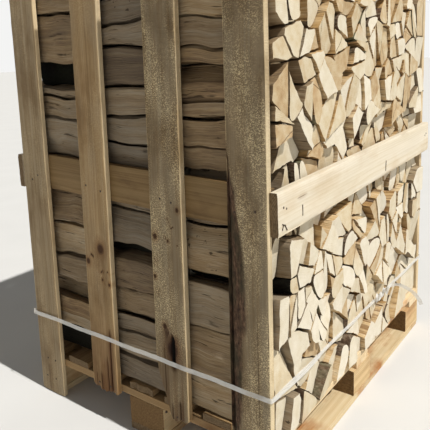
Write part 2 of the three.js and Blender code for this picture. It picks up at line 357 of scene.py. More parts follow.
def sawn_board(cad_node, place, half, thick, ends, woods, slot, seed, spacing=0.009, step=0.03,
               foot=None, splinters=0.0, cracks=(), knots=(), edge=None, wane=None, arris=0.0016):
    """A sawn board that stands for a CAD board, with worn arrises, waney edges, cracks and knots.

    place turns (across, along, inward) into the crate's own axes. half is half its width, ends
    its two ends along its length. foot gives the lower end's outline as (across, along) pairs.
    cracks are (across, from, to, half width, depth), knots (across, along, radius). edge gives
    the reach of its far edge and wane where its bark begins, both as (along, across) pairs. woods
    are the finishes of its faces and of its ends.
    """
    draw = random.Random(seed)
    u, w, count = board_section(half, thick, arris, spacing, cracks)
    outer = np.arange(len(u)) < count
    low = looked_up(u, foot or [(-half, ends[0]), (half, ends[0])])
    low = low + splinters * np.abs(lumps(u * 260, u * 0 + seed, seed))
    low = low + ROUGH_FOOT * lumps(u * 90, u * 0, seed)
    high = ends[1] - ROUGH_TOP * np.abs(lumps(u * 70, u * 0 + 3, seed))
    rows = max(4, round((ends[1] - ends[0]) / step))
    t = np.linspace(0, 1, rows + 1)
    t = t - 0.35 * np.sin(2 * pi * t) / (2 * pi)
    v = low + np.outer(t, high - low)
    u, w, outer = (np.tile(part, (rows + 1, 1)) for part in (u, w, outer * 1.0))
    if edge:
        u = np.where(u > 0, u * looked_up(v, edge) / half, u)
    w = w + outer * WAVINESS * lumps(u * 40, v * 9, seed + 1)
    worn = np.abs(u) / half
    u = u * (1 - 0.012 * worn * np.abs(lumps(v * 7, np.sign(u) * 5, seed + 2)))
    w = w + outer * np.clip(worn - 0.93, 0, 1) * 0.03 * (1 + lumps(v * 22, np.sign(u), seed + 3))
    split = np.zeros_like(u)
    for across, start, stop, opening, depth in cracks:
        middle = (start + stop) / 2
        along = np.clip(1 - ((v - middle) / ((stop - start) / 2)) ** 2, 0, 1) ** 0.5
        deep = np.abs(u - across) < 0.4 * opening
        w = w + outer * depth * along * deep
        halo = np.exp(-((u - across) / (0.006 + 2 * opening)) ** 2) * min(opening / 0.003, 1) * 0.45
        split = np.maximum(split, outer * np.clip(along * 1.5, 0, 1) * np.where(deep, 1.0, halo))
    bark = np.zeros_like(u)
    if wane:
        flat_edge = looked_up(v, wane) + 0.0025 * lumps(v * 28, v * 0, seed)
        past = np.clip((u - flat_edge) / np.maximum(looked_up(v, edge) - flat_edge, 0.004), 0, 1)
        w = w + outer * thick * 0.75 * (1 - np.sqrt(1 - 0.96 * past ** 2))
        bark = np.clip(past * 6, 0, 1) * (outer > 0) + (past > 0.98) * (outer == 0)
    aside, up, near = nearest_knots(u, v, knots)
    w = w - outer * SWELLING * np.exp(-near ** 2 * 0.7)
    knot = np.stack([aside, up, np.full(u.shape, draw.random())], axis=-1)
    pith = (draw.uniform(-0.05, 0.05), draw.uniform(0.03, 0.09))
    grain = np.stack([u + pith[0], v + draw.uniform(0, 40), w + pith[1]], axis=-1)
    across_way, along_way, inward_way, origin = (np.array(x) for x in place)
    points = origin + u[..., None] * across_way + v[..., None] * along_way + w[..., None] * inward_way
    ring = u.shape[1]
    faces = tube_faces(rows + 1, ring)
    kinds = [0] * len(faces)
    for first in (0, rows * ring):
        back = first + 2 * count + 1
        faces += [(first + j, first + j + 1, back - j - 1, back - j) for j in range(count - 1)]
        faces.append(tuple(range(first + count - 1, first + count + 3)))
        faces.append((first, back, back + 1, back + 2))
    kinds += [1] * (len(faces) - len(kinds))
    board = mesh_piece("sawn_" + cad_node, points.reshape(-1, 3), faces, woods, slot, kinds)
    kept = {"grain": grain, "knot": knot, "bark": bark, "open_face": outer, "split": split}
    for title, values in kept.items():
        store(board, title, values)
    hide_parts(cad_node)


def store(piece, title, values):
    """Keeps a number or a vector for each point of a piece, for its material to read."""
    values = np.array(values, np.float32).reshape(-1)
    vector = values.size > len(piece.data.vertices)
    kept = piece.data.attributes.new(title, "FLOAT_VECTOR" if vector else "FLOAT", "POINT")
    kept.data.foreach_set("vector" if vector else "value", values)


def stored(tree, title):
    return node(tree, "ShaderNodeAttribute", {}, "Fac", attribute_name=title)


def parts_stored(tree, title):
    """A vector that a piece keeps, and then its three numbers."""
    vector = node(tree, "ShaderNodeAttribute", {}, "Vector", attribute_name=title)
    return vector, *parts_of(vector)


def parts_of(vector):
    first = node(vector.tree, "ShaderNodeSeparateXYZ", {0: vector})
    return [Field(output) for output in first.socket.node.outputs]


def distance(a, b):
    return (a * a + b * b).made("SQRT")


SOFTWOOD_RINGS = 190.0  # year rings to the metre
DAMP_FOOT = (0.13, 0.4)  # heights between which a damp slat's stain fades out


def timber(name, stops, grey, grey_share, stain, stain_share, saw, speckle, roughness=0.82, aged=None,
           damp=0.0):
    """Sawn softwood: year rings round a far pith, fibres, knots, saw marks, weather and stains.

    aged is the colour that weather has given the board's open face, and damp is how brown an
    upright board has turned at its foot.
    """
    material, tree, shader = finish_of(name, roughness, 0.25)
    grain, side, _, deep = parts_stored(tree, "grain")
    _, knot_side, knot_along, luck = parts_stored(tree, "knot")
    from_knot = distance(knot_side, knot_along)
    near = ranged(from_knot, 0.4, 3.2, 1.0, 0.0)
    across = mottle(grain, (9, 1.3, 9), 2.0) * 0.03 + side - near * near * knot_side * 0.012
    rings = (distance(across, deep) * SOFTWOOD_RINGS).made("FRACT")
    fibres = mottle(grain, (900, 9, 900), 2.0, 0.6)
    streaks = mottle(grain, (70, 1.1, 70))
    colour = tints(streaks * 0.55 + fibres * 0.35 + luck * 0.22 - rings * rings * 0.17 - 0.02, stops)
    pits = mottle(grain, (290, 360, 290), 3.0, 0.8)
    wet = ranged(parts_of(spot_on(tree))[2], *DAMP_FOOT, damp, 0.0)
    if aged:
        open_face = stored(tree, "open_face")
        # Pale specks on the raised grain of the open face: partly grain rubbed bare, and partly painted
        # highlight of the sun grazing it.
        patchy = ranged(mottle(grain, (15, 5, 15), shift=(8, 2, 1)), 0.36, 0.58)
        rubbed_and_lit_specks = ranged(pits, 0.5, 0.6) * patchy * (min(speckle, 1) - wet)
        colour = covered(colour, rubbed_and_lit_specks * 0.75, "F6E3B4")
        colour = dyed(colour, open_face * ranged(rubbed_and_lit_specks, 0.0, 1.0, 1.0, 0.0), aged)
        colour = covered(colour, ranged(open_face, 0.0, 0.5, 0.35, 0.0) * (1.0 - wet), "F3E4C6")
    weather = mottle(grain, (16, 3.5, 16), 5.0, 0.62)
    colour = covered(colour, ranged(weather, 0.45, 0.72, 0.0, grey_share), grey)
    patches = mottle(grain, (9, 4, 9), 4.0, 0.6, (3, 5, 1))
    colour = dyed(colour, ranged(patches, 0.5, 0.66, 0.0, stain_share), stain)
    colour = dyed(colour, wet * ranged(streaks, 0.38, 0.56), "AC8454")
    colour = dyed(colour, ranged(from_knot, 1.0, 2.6, 0.5, 0.0), "B98A55")
    heart = (from_knot * 4.0).made("FRACT") * 0.22 + ranged(from_knot, 0.6, 1.15, 0.85, 0.0)
    colour = covered(colour, heart * ranged(from_knot, 1.0, 1.2, 1.0, 0.0), "3E2512")
    bark = stored(tree, "bark")
    crust = mottle(grain, (120, 40, 120), 4.0, 0.7)
    barks = tints(crust, [(0.32, "2C2019"), (0.5, "5A4332"), (0.68, "82674F")])
    moss = ranged(mottle(grain, (30, 7, 30)), 0.5, 0.6, 0.0, 0.6)
    colour = covered(colour, bark, covered(barks, moss, "3B3A28"))
    # Each crack gets a brown rim and, down inside it, near-black painted shade.
    split = stored(tree, "split")
    colour = dyed(colour, ranged(split, 0.0, 0.4, 0.0, 0.75), "94663E")
    colour = covered(colour, ranged(split, 0.42, 0.62), "140D08")
    saw_marks = waves(grain, (5, 95, 5), "Y", Scale=1.0, Distortion=2.5, Detail=2.0)
    height = saw_marks * saw + ranged(pits, 0.4, 0.7) * (speckle * 0.8) + fibres * 0.25
    dress(shader, colour, height + crust * bark * 2.5, 0.0011, 0.9)
    return material


def end_grain_finish(name, stops):
    """The sawn ends of boards: rings and rough fibre cut across, browner than the faces from damp."""
    material, tree, shader = finish_of(name, 0.9, 0.2)
    grain, side, _, deep = parts_stored(tree, "grain")
    rings = (distance(side, deep) * SOFTWOOD_RINGS).made("FRACT")
    rough = mottle(grain, (150, 150, 150), 4.0, 0.65)
    dress(shader, tints(rings * 0.22 + rough * 0.75, stops), rough, 0.0016)
    return material


end_grain = end_grain_finish("damp_end_grain", [(0.25, "4E3F2C"), (0.5, "6E5B43"), (0.75, "8A755A")])
block_ends = end_grain_finish("block_end_grain", [(0.25, "54402A"), (0.5, "725838"), (0.75, "8A6F4B")])
pallet_wood = timber("stained_pallet_wood",
                     [(0.1, "B4946A"), (0.35, "D2B78C"), (0.55, "E0CAA4"), (0.8, "E9D9B8")],
                     "A3967F", 0.3, "D69A5E", 0.85, 0.35, 0.35)
muddy_pallet_wood = timber("muddy_pallet_wood",
                           [(0.1, "A2845C"), (0.35, "BEA278"), (0.55, "CEB890"), (0.8, "DAC8A4")],
                           "9A8A6C", 0.4, "C88C52", 0.85, 0.35, 0.5)
# A darker copy of the pallet wood for the boards that lie in shade: painted shade.
shade_painted_pallet_wood = timber("shade_painted_pallet_wood",
                           [(0.1, "6E5434"), (0.35, "8A6D48"), (0.55, "9C7F58"), (0.8, "AD9168")],
                           "7A6B52", 0.3, "9A6E3C", 0.6, 0.35, 0.35)
block_wood = timber("pallet_block_wood",
                    [(0.1, "9C7C50"), (0.35, "C8AA7C"), (0.6, "DEC498"), (0.85, "E8D4AE")],
                    "A39478", 0.4, "C4935C", 0.5, 0.25, 0.7)

X_WAY, Y_WAY, DOWN_WAY = (1, 0, 0), (0, 1, 0), (0, 0, -1)


def flat_board(cad_node, along, woods, seed, **more):
    """A board that lies flat in its CAD board's box, with its length along X or Y."""
    low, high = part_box(cad_node)
    middle = (low + high) / 2
    long_axis, wide_axis = (0, 1) if along == "X" else (1, 0)
    origin = [middle.x, middle.y, high.z]
    reach = (high[long_axis] - low[long_axis]) / 2
    half = (high[wide_axis] - low[wide_axis]) / 2
    ways = (Y_WAY, X_WAY) if along == "X" else (X_WAY, Y_WAY)
    sawn_board(cad_node, (*ways, DOWN_WAY, origin), half, high.z - low.z, (-reach, reach), woods,
               "pallet_wood", seed, **more)


BLOCK_ROWS = ("front", "middle", "back")
BLOCK_COLUMNS = ("left", "centre", "right")
DECK_BOARDS = 7
BROKEN_BOARD = 4  # the deck board whose left end has splintered off short

for i, row in enumerate(BLOCK_ROWS):
    flat_board("bottom_board_" + row, "X", [muddy_pallet_wood, end_grain], 20 + i)
    for k, column in enumerate(BLOCK_COLUMNS):
        flat_board(f"block_{row}_{column}", "X", [block_wood, block_ends], 30 + 3 * i + k,
                   spacing=0.012, arris=0.0025)
# The left stringer and every deck board but the front one take the darker copy, as painted shade.
for i, column in enumerate(BLOCK_COLUMNS):
    flat_board("stringer_" + column, "Y", [pallet_wood if i else shade_painted_pallet_wood, pallet_wood], 50 + i)
for i in range(1, DECK_BOARDS + 1):
    flat_board(f"deck_board_{i}", "X", [pallet_wood if i == 1 else shade_painted_pallet_wood, end_grain], 60 + i,
               splinters=0.007 * (i == BROKEN_BOARD))


# ---------- The slats ----------
# Eight rough-sawn softwood slats stand outside the stack, four to a side, nailed to the rails and
# the pallet. Two of the left ones end in broken, splintered feet, and the near one keeps some bark.

SLAT_TINTS = [(0.1, "9C7C50"), (0.35, "BE9F6E"), (0.55, "D2B686"), (0.85, "E2CDA2")]
PLAIN_SAWN = ("8A7F6C", 0.4, "B39B78", 0.5, 0.5, 0.25, 0.88)
COARSE_SAWN = ("7F7460", 0.4, "A58E6C", 0.6, 0.9, 1.4, 0.9)
slat_wood = timber("weathered_slat_wood", SLAT_TINTS, *PLAIN_SAWN, aged="B6B9C6")
stained_slat_wood = timber("stained_slat_wood", SLAT_TINTS, *PLAIN_SAWN, aged="C6C3C6", damp=0.8)
coarse_slat_wood = timber("rough_sawn_slat_wood", SLAT_TINTS, *COARSE_SAWN, aged="A3A3AA")
stained_coarse_wood = timber("stained_coarse_slat_wood", SLAT_TINTS, *COARSE_SAWN, aged="A3A3AA",
                             damp=0.8)

SLAT_TOP_GAP = 0.002  # how far a slat ends below the top of its CAD slat

# half is half a slat's width, lean how far it leans towards the front for each metre of height, and
# thinner how much less thick it is than the CAD slat. The rest is as in sawn_board, in metres.
LEFT_SLATS = [
    dict(half=0.060, lean=0.0096, thinner=0.006, foot=[(-0.06, 0.003), (0.06, 0.004)],
         cracks=[(0.012, 0.0, 0.11, 0.0008, 0.006)]),
    dict(half=0.057, lean=0.019, thinner=0.002, splinters=0.012, wood=stained_slat_wood,
         foot=[(-0.057, 0.108), (-0.028, 0.111), (0.008, 0.104), (0.034, 0.113), (0.057, 0.118)],
         knots=[(-0.0173, 0.608, 0.015), (0.044, 0.5565, 0.009), (-0.049, 0.495, 0.005),
                (-0.018, 0.505, 0.004)],
         cracks=[(-0.019, 0.08, 0.23, 0.0018, 0.016), (0.014, 0.08, 0.17, 0.0016, 0.018),
                 (0.037, 0.1, 0.16, 0.0012, 0.012), (-0.036, 0.1, 0.34, 0.0028, 0.016)]),
    dict(half=0.058, lean=0.017, splinters=0.01, wood=stained_coarse_wood,
         foot=[(-0.058, 0.128), (-0.03, 0.121), (0.004, 0.116), (0.026, 0.19), (0.058, 0.288)],
         knots=[(-0.009, 0.35, 0.02), (0.018, 0.418, 0.008), (0.042, 0.69, 0.008), (-0.007, 0.684, 0.004),
                (0.049, 0.567, 0.006), (-0.045, 0.78, 0.006)],
         cracks=[(-0.009, 0.285, 0.4, 0.0105, 0.02), (-0.03, 0.1, 0.19, 0.0022, 0.018),
                 (0.0, 0.1, 0.17, 0.0014, 0.014), (0.024, 0.2, 0.36, 0.0012, 0.01)]),
    dict(half=0.059, lean=0.007, wood=coarse_slat_wood, foot=[(-0.059, 0.004), (0.059, 0.005)],
         edge=[(0.0, 0.067), (0.3, 0.066), (0.56, 0.064), (0.87, 0.06), (1.6, 0.059)],
         wane=[(0.0, 0.05), (0.21, 0.035), (0.30, 0.0225), (0.40, 0.021), (0.455, 0.018), (0.50, 0.003),
               (0.58, 0.005), (0.70, 0.011), (0.83, 0.032), (0.95, 0.056), (1.0, 0.0595), (1.6, 0.0595)],
         cracks=[(-0.025, 0.2, 0.5, 0.0006, 0.004)]),
]
RIGHT_SLATS = [
    dict(half=0.058, lean=0.003, foot=[(-0.058, 0.005), (0.058, 0.004)],
         knots=[(0.01, 0.7, 0.01)], cracks=[(-0.02, 0.0, 0.1, 0.0012, 0.01)]),
    dict(half=0.056, lean=-0.006, foot=[(-0.056, 0.109), (-0.01, 0.114), (0.056, 0.112)],
         knots=[(-0.02, 1.2, 0.009), (0.03, 0.5, 0.008)], cracks=[(0.02, 0.1, 0.22, 0.0012, 0.012)]),
    dict(half=0.060, lean=0.005, foot=[(-0.06, 0.116), (0.02, 0.106), (0.06, 0.11)],
         knots=[(0.025, 0.9, 0.012)], cracks=[(-0.03, 0.1, 0.2, 0.0014, 0.012)]),
    dict(half=0.059, lean=0.005, foot=[(-0.059, 0.004), (0.059, 0.006)],
         knots=[(-0.03, 0.45, 0.009), (0.02, 1.3, 0.008)], cracks=[(0.01, 1.45, 1.62, 0.0012, 0.01)]),
]


def stand_slat(side, number, seed, half, lean, foot, thinner=0.0, wood=slat_wood, edge=None, **more):
    """Stands one slat against the left or the right of the stack, leaning as its CAD slat does."""
    cad_node = f"slat_{side}_{number}"
    low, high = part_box(cad_node)
    turn = atan(lean)
    across = (0, cos(turn), sin(turn))
    along = (0, -sin(turn), cos(turn))
    inward = (1 if side == "left" else -1, 0, 0)
    y = high.y - (edge[0][1] if edge else half) if lean > 0 else low.y + half
    thick = high.x - low.x - thinner
    place = (across, along, inward, (high.x - thick if side == "left" else low.x + thick, y, 0))
    ends = (foot[0][1], high.z - SLAT_TOP_GAP)
    sawn_board(cad_node, place, half, thick, ends, [wood, end_grain], "slat_wood", seed,
               spacing=0.0048, step=0.02, foot=foot, edge=edge, **more)


for side, slats, first_seed in (("left", LEFT_SLATS, 101), ("right", RIGHT_SLATS, 111)):
    for i, shape in enumerate(slats):
        stand_slat(side, i + 1, first_seed + i, **shape)


# ---------- The rails ----------
# Planed boards tie the slats at mid height and at the top: the side ones lie inside the slats, the
# front and back ones are nailed over the slats' edges and hold the ends of the logs.

rail_wood = timber("planed_rail_wood",
                   [(0.1, "BCA985"), (0.35, "CEC0A4"), (0.55, "D8CDB8"), (0.85, "E2DACA")],
                   "C4B9A2", 0.25, "DCC29A", 0.3, 0.1, 0.3, 0.7)
# A darker copy of the rail wood for the two left rails, which lie in shade: painted shade.
shaded_rail_wood = timber("shade_painted_rail_wood",
                          [(0.1, "60492A"), (0.35, "775F3C"), (0.55, "876E4A"), (0.85, "988056")],
                          "6C5B3E", 0.3, "8A6C40", 0.4, 0.1, 0.3, 0.7)


def rise_of(cad_node, axis):
    """How far a CAD rail climbs for each metre along its length."""
    spots = [v.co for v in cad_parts[cad_node].data.vertices]
    low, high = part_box(cad_node)
    middle = (low[axis] + high[axis]) / 2
    left = [p.z for p in spots if p[axis] < middle]
    right = [p.z for p in spots if p[axis] > middle]
    return (sum(right) / len(right) - sum(left) / len(left)) / (high[axis] - low[axis])


def nail_rail(cad_node, axis, outward, seed, wood=rail_wood, **more):
    """One rail, along X or Y, with its good face to the outside."""
    low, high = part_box(cad_node)
    tilt = atan(rise_of(cad_node, axis))
    middle = (low + high) / 2
    reach = (high[axis] - low[axis]) / 2 / cos(tilt) - 0.001
    half = ((high.z - low.z) / 2 - reach * sin(abs(tilt))) / cos(tilt)
    flat_axis = 1 - axis
    thick = high[flat_axis] - low[flat_axis]
    origin = list(middle)
    origin[flat_axis] = high[flat_axis] if outward > 0 else low[flat_axis]
    along = [0, 0, sin(tilt)]
    along[axis] = cos(tilt)
    across = [0, 0, cos(tilt)]
    across[axis] = -sin(tilt)
    inward = [0, 0, 0]
    inward[flat_axis] = -outward
    sawn_board(cad_node, (across, along, inward, origin), half, thick, (-reach, reach),
               [wood, end_grain], "rail_wood", seed, spacing=0.008, step=0.024, **more)


# The left rails take the darker copy, as painted shade.
for i, level in enumerate(("middle", "top")):
    nail_rail("rail_left_" + level, 1, -1, 121 + i, wood=shaded_rail_wood)
    nail_rail("rail_right_" + level, 1, 1, 131 + i)
    nail_rail("rail_back_" + level, 0, 1, 141 + i)
nail_rail("rail_front_middle", 0, -1, 151, cracks=[(0.02, -0.51, -0.46, 0.001, 0.006)])
nail_rail("rail_front_top", 0, -1, 152)


# ---------- The nails ----------
# Wire nails driven by a nail gun: two through each slat at each rail and at the pallet, and two
# at each end of a cross rail. Their heads lie nearly flush and rust, and a few were bent over.

NAIL_HEAD = 0.0036  # its radius
NAIL_PROUD = 0.0009
NAIL_SUNK = 0.004  # how far down into the board the nail is made
NAIL_SIDES = 10
NAIL_ROWS = (0.06, 0.133, 0.82, 1.535)  # heights up a slat
SHORT_SLAT = 0.05  # a slat whose foot ends higher than this misses the lowest row of nails
SLAT_MIDDLE = 0.8  # the height of a slat's middle
RAIL_NAILS = ((0.029, 0.0145), (0.043, 0.0085))  # in from a cross rail's end, and up from its middle


def nail_finish():
    material, tree, shader = finish_of("rusting_nail_steel", 0.6, 0.4)
    rust = mottle(spot_on(tree), (400, 400, 400))
    dress(shader, tints(rust, [(0.35, "2A221C"), (0.55, "4C3A2C"), (0.75, "6E6A64")]))
    shader.inputs["Metallic"].default_value = 0.5
    return material


nail_points = []
nail_faces = []


def drive_nail(spot, outward):
    """Adds one nail head at a spot on a board, facing outward."""
    out = Vector(outward)
    side = Vector((0, 0, 1)).cross(out).normalized()
    up = out.cross(side)
    first = len(nail_points)
    for reach, height in ((1.0, -NAIL_SUNK), (1.0, 0.35 * NAIL_PROUD), (0.7, NAIL_PROUD)):
        for k in range(NAIL_SIDES):
            angle = 2 * pi * k / NAIL_SIDES
            ray = side * cos(angle) + up * sin(angle)
            nail_points.append(Vector(spot) + ray * (NAIL_HEAD * reach) + out * height)
    nail_faces.extend(tube_faces(3, NAIL_SIDES, first))
    for start in (first, first + 2 * NAIL_SIDES):
        nail_faces.append(tuple(range(start, start + NAIL_SIDES)))


nail_draw = random.Random(7)
for side, slats in (("left", LEFT_SLATS), ("right", RIGHT_SLATS)):
    for i, shape in enumerate(slats):
        low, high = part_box(f"slat_{side}_{i + 1}")
        face = low.x + shape.get("thinner", 0) if side == "left" else high.x
        y_foot = (low.y + high.y) / 2 + shape["lean"] * SLAT_MIDDLE
        for z in NAIL_ROWS[low.z > SHORT_SLAT:]:
            for sign in (-1, 1):
                y = y_foot - shape["lean"] * z + sign * nail_draw.uniform(0.015, 0.034)
                spot = (face, y, z + nail_draw.uniform(-0.025, 0.025) * (z > 0.2))
                drive_nail(spot, (-1 if side == "left" else 1, 0, 0))
for side, level in (("front", "middle"), ("front", "top"), ("back", "middle"), ("back", "top")):
    low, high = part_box(f"rail_{side}_{level}")
    face = low.y if side == "front" else high.y
    for inset, rise in RAIL_NAILS:
        for x in (low.x + inset, high.x - inset):
            z = (low.z + high.z) / 2 + rise_of(f"rail_{side}_{level}", 0) * x + rise
            spot = (x + nail_draw.uniform(-0.001, 0.001), face, z)
            drive_nail(spot, (0, -1 if side == "front" else 1, 0))


def bend_nail(start, stop, wire=0.0024):
    """Adds a nail that was bent over and beaten flat against the front middle rail."""
    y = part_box("rail_front_middle")[0].y - 0.0006
    ends = [Vector((start[0], y, start[1])), Vector((stop[0], y, stop[1]))]
    spots, sides = band_mesh(ends, [Vector((0, 1, 0))] * 2, width=wire, thickness=wire)
    first = len(nail_points)
    nail_points.extend(spots)
    nail_faces.extend(tuple(first + k for k in side) for side in sides)


BENT_NAILS = [
    ((-0.4843, 0.803), (-0.4850, 0.7735)), ((-0.5926, 0.778), (-0.5754, 0.7708)),
    ((-0.5800, 0.774), (-0.5682, 0.7571)), ((-0.5870, 0.774), (-0.5920, 0.762)),
    ((0.1311, 0.8134), (0.1270, 0.777)),
]
for start, stop in BENT_NAILS:
    bend_nail(start, stop)
mesh_piece("nail_heads", nail_points, nail_faces, [nail_finish()], "rail_wood")


# ---------- The logs ----------
# Short lengths of pale hardwood, sawn off square and split with an axe or a splitter into wedges,
# quarters and slabs, then stacked by hand in three tiers with their sawn ends to the front.

LOG_SIDE_GAP = 0.0003  # least room between a log and its neighbour, on each side of the gap
SPLIT_STEP = 0.0105  # spacing of the ridges that the split leaves along the grain
SECTIONS = (0.0, 0.012, 0.09, 0.22, 0.37, 0.52, 0.67, 0.82, 0.988, 1.0)
SIDE_SECTIONS = (0.0, 0.01, *(i / 22 for i in range(1, 22)), 0.99, 1.0)
SETTLE = 0.010  # how far the logs' crooked lengths rise and fall

# The logs that lie against the left slats, tier by tier, as the heights where one ends and the
# next begins, from the deck up. Where a log lies set back and leaves a dark gap, the gap is given
# by the height it starts at.
LEFT_ROWS = {
    "logs_front": [0.165, 0.283, 0.425, 0.573, 0.600, 0.745, 0.882, 0.953, 1.038, 1.084, 1.129,
                   1.177, 1.215, 1.297, 1.400, 1.500, 1.572],
    "logs_middle": [0.165, 0.250, 0.331, 0.400, 0.472, 0.577, 0.627, 0.736, 0.866, 0.946, 1.024,
                    1.115, 1.227, 1.305, 1.380, 1.480, 1.572],
    "logs_back": [0.165, 0.272, 0.311, 0.389, 0.444, 0.537, 0.665, 0.757, 0.890, 1.007, 1.087,
                  1.113, 1.187, 1.343, 1.450, 1.572],
}
LEFT_HOLES = {
    "logs_front": (0.573, 1.129),
    "logs_middle": (0.577,),
    "logs_back": (0.165, 0.389, 1.113),
}
SET_BACK = 0.06  # how far a thin log that leaves such a gap lies behind its neighbours
LOG_TRIES, BIG_LOG_TRIES = 9000, 3000  # how often a place is tried for a log, at first for a big one
BIG_LOGS, SMALL_LOGS = (0.052, 0.078), (0.04, 0.055)  # their radii before they are split
PACKING = 0.86  # how near two logs' middles may come, as a share of their two radii
WHOLE_LOG = (0.0045, 0.0105)  # the area, in square metres, up to which a piece is not split again
LEAST_LOG = 0.0007  # a sliver of less area is left out of the stack
CHIPPED, RUBBED = (0.15, 0.42), (0.03, 0.12)  # how much of a side a lost corner takes with it
CHIP_ODDS, BARK_ODDS = 0.45, 0.33  # how many logs inside have lost a corner, and have their bark


def sides_of(polygon):
    return zip(polygon, polygon[1:] + polygon[:1])


def neighbours(outline, k):
    """The corners before and after one corner of an outline."""
    return outline[k - 1], outline[(k + 1) % len(outline)]


def cut_polygon(polygon, normal, limit):
    """What is left of a convex outline where normal . p <= limit."""
    kept = []
    for a, b in sides_of(polygon):
        side_a, side_b = a.dot(normal) - limit, b.dot(normal) - limit
        if side_a <= 0:
            kept.append(a)
        if side_a * side_b < 0:
            kept.append(a + (b - a) * (side_a / (side_a - side_b)))
    return kept


def area_of(polygon):
    return sum(a.x * b.y - b.x * a.y for a, b in sides_of(polygon)) / 2


def middle_of(polygon):
    return sum(polygon, Vector((0, 0))) / len(polygon)


def shrunk(polygon, gap):
    """The outline moved inwards by a gap on every side."""
    small = list(polygon)
    for a, b in sides_of(polygon):
        way = b - a
        if way.length < 1e-5 or not small:
            continue
        normal = Vector((way.y, -way.x)).normalized()
        small = cut_polygon(small, normal, a.dot(normal) - gap)
    return small


def stack_cells(name, seed):
    """Shares a tier's cross-section out to its logs: outlines, and which lie at the left or right."""
    draw = random.Random(seed)
    low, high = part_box(name)
    rows = LEFT_ROWS[name]
    sites = []
    for bottom, top in zip(rows, rows[1:]):
        kind = "back" if bottom in LEFT_HOLES[name] else "left"
        deep = 0.05 if kind == "back" else draw.uniform(0.03, 0.085)
        reach = sqrt(max(((top - bottom) / 2) ** 2 + deep ** 2 - 0.05 ** 2, 1e-5))
        sites.append((Vector((low.x + deep, (bottom + top) / 2)), reach, kind))
    z = low.z
    while z < high.z - 0.03:
        height = min(draw.uniform(0.06, 0.15), high.z - z)
        sites.append((Vector((high.x - 0.045, z + height / 2)), height / 2, "right"))
        z += height
    for attempt in range(LOG_TRIES):
        size = draw.uniform(*(BIG_LOGS if attempt < BIG_LOG_TRIES else SMALL_LOGS))
        x = draw.uniform(low.x + 0.1, high.x - 0.1)
        spot = Vector((x, draw.uniform(low.z + 0.02, high.z - 0.02)))
        if all((spot - other).length > PACKING * (size + reach) for other, reach, _ in sites):
            sites.append((spot, size, "inner"))
    corners = ((low.x, low.z), (high.x, low.z), (high.x, high.z), (low.x, high.z))
    whole = [Vector(corner) for corner in corners]
    cells = []
    for spot, size, kind in sites:
        cell = whole
        for other, reach, _ in sites:
            if other is not spot and (other - spot).length < 0.5 and cell:
                limit = (other.length_squared - spot.length_squared - reach ** 2 + size ** 2) / 2
                cell = cut_polygon(cell, other - spot, limit)
        if cell:
            cells.append((cell, kind))
    return cells


def fullness(polygon):
    """How near a convex outline comes to a disc: small for a thin slab or a long sliver."""
    around = sum((a - b).length for a, b in sides_of(polygon))
    return area_of(polygon) / max(around, 1e-6) ** 2


def split_cell(cell, kind, draw):
    """Splits an outline with straight blows, as a round log is split, until the pieces are small."""
    limit = draw.uniform(*WHOLE_LOG)
    left_end = min(p.x for p in cell)
    against_slats = kind == "left" and max(p.x for p in cell) - left_end > 0.1
    if not against_slats and (kind != "inner" or area_of(cell) < limit):
        return [(cell, kind)]
    best = None
    for _ in range(3):
        middle = middle_of(cell) + Vector((draw.uniform(-0.016, 0.016), draw.uniform(-0.016, 0.016)))
        angle = draw.gauss(0, 0.7)
        if against_slats:
            middle.x = left_end + draw.uniform(0.05, 0.09)
            angle = draw.gauss(0, 0.35)
        normal = Vector((cos(angle), sin(angle)))
        if not against_slats and draw.random() < 0.55:
            way = middle - draw.choice(cell)
            normal = Vector((way.y, -way.x)).normalized()
        halves = [cut_polygon(cell, n, middle.dot(n)) for n in (normal, -normal)]
        if min(len(half) for half in halves) > 2:
            score = min(fullness(half) for half in halves)
            if best is None or score > best[0]:
                best = (score, halves)
    if best is None:
        return [(cell, kind)]
    near, far = best[1]
    if against_slats:
        return [(near, kind)] + split_cell(far, "inner", draw)
    return split_cell(near, kind, draw) + split_cell(far, kind, draw)


def log_outline(cell, kind, draw):
    """A log's cross-section inside its cell, as [(point, is bark)], and where its pith lies."""
    spare = draw.choice((0.0, 0.0, 0.0006, 0.0024)) if kind == "inner" else 0.0001
    outline = shrunk(cell, LOG_SIDE_GAP + spare)
    if len(outline) < 3 or area_of(outline) < LEAST_LOG:
        return None, None
    if len(outline) > 3 and kind == "inner" and draw.random() < CHIP_ODDS:
        k = draw.randrange(len(outline))
        outline[k:k + 1] = [outline[k].lerp(p, draw.uniform(*CHIPPED)) for p in neighbours(outline, k)]
    sharpness = []
    for k, corner in enumerate(outline):
        before, after = (p - corner for p in neighbours(outline, k))
        if before.length < 1e-5 or after.length < 1e-5:
            sharpness.append(9)
        else:
            sharpness.append(before.angle(after) + draw.uniform(0, 0.5))
    start = sharpness.index(min(sharpness))
    outline = outline[start:] + outline[:start]
    barked = kind == "back" or draw.random() < (BARK_ODDS if kind == "inner" else 0.0)
    if not barked and kind != "inner":
        rounder = []
        for k, corner in enumerate(outline):
            rounder += [corner.lerp(p, draw.uniform(*RUBBED)) for p in neighbours(outline, k)]
        outline = rounder
    if not barked:
        pith = outline[0] + (outline[0] - middle_of(outline)) * draw.uniform(0.1, 1.4)
        return [(p, False) for p in outline], pith
    arc = [outline[0].lerp(outline[1], draw.uniform(0.6, 0.9)), *outline[1:],
           outline[0].lerp(outline[-1], draw.uniform(0.6, 0.9))]
    for _ in range(3):
        rounder = [arc[0]]
        for a, b in zip(arc, arc[1:]):
            rounder += [a.lerp(b, 0.25), a.lerp(b, 0.75)]
        arc = rounder + [arc[-1]]
    pith = outline[0].lerp(middle_of(outline), draw.uniform(-0.1, 0.25))
    return [(outline[0], False), *[(p, True) for p in arc[:-1]], (arc[-1], False)], pith


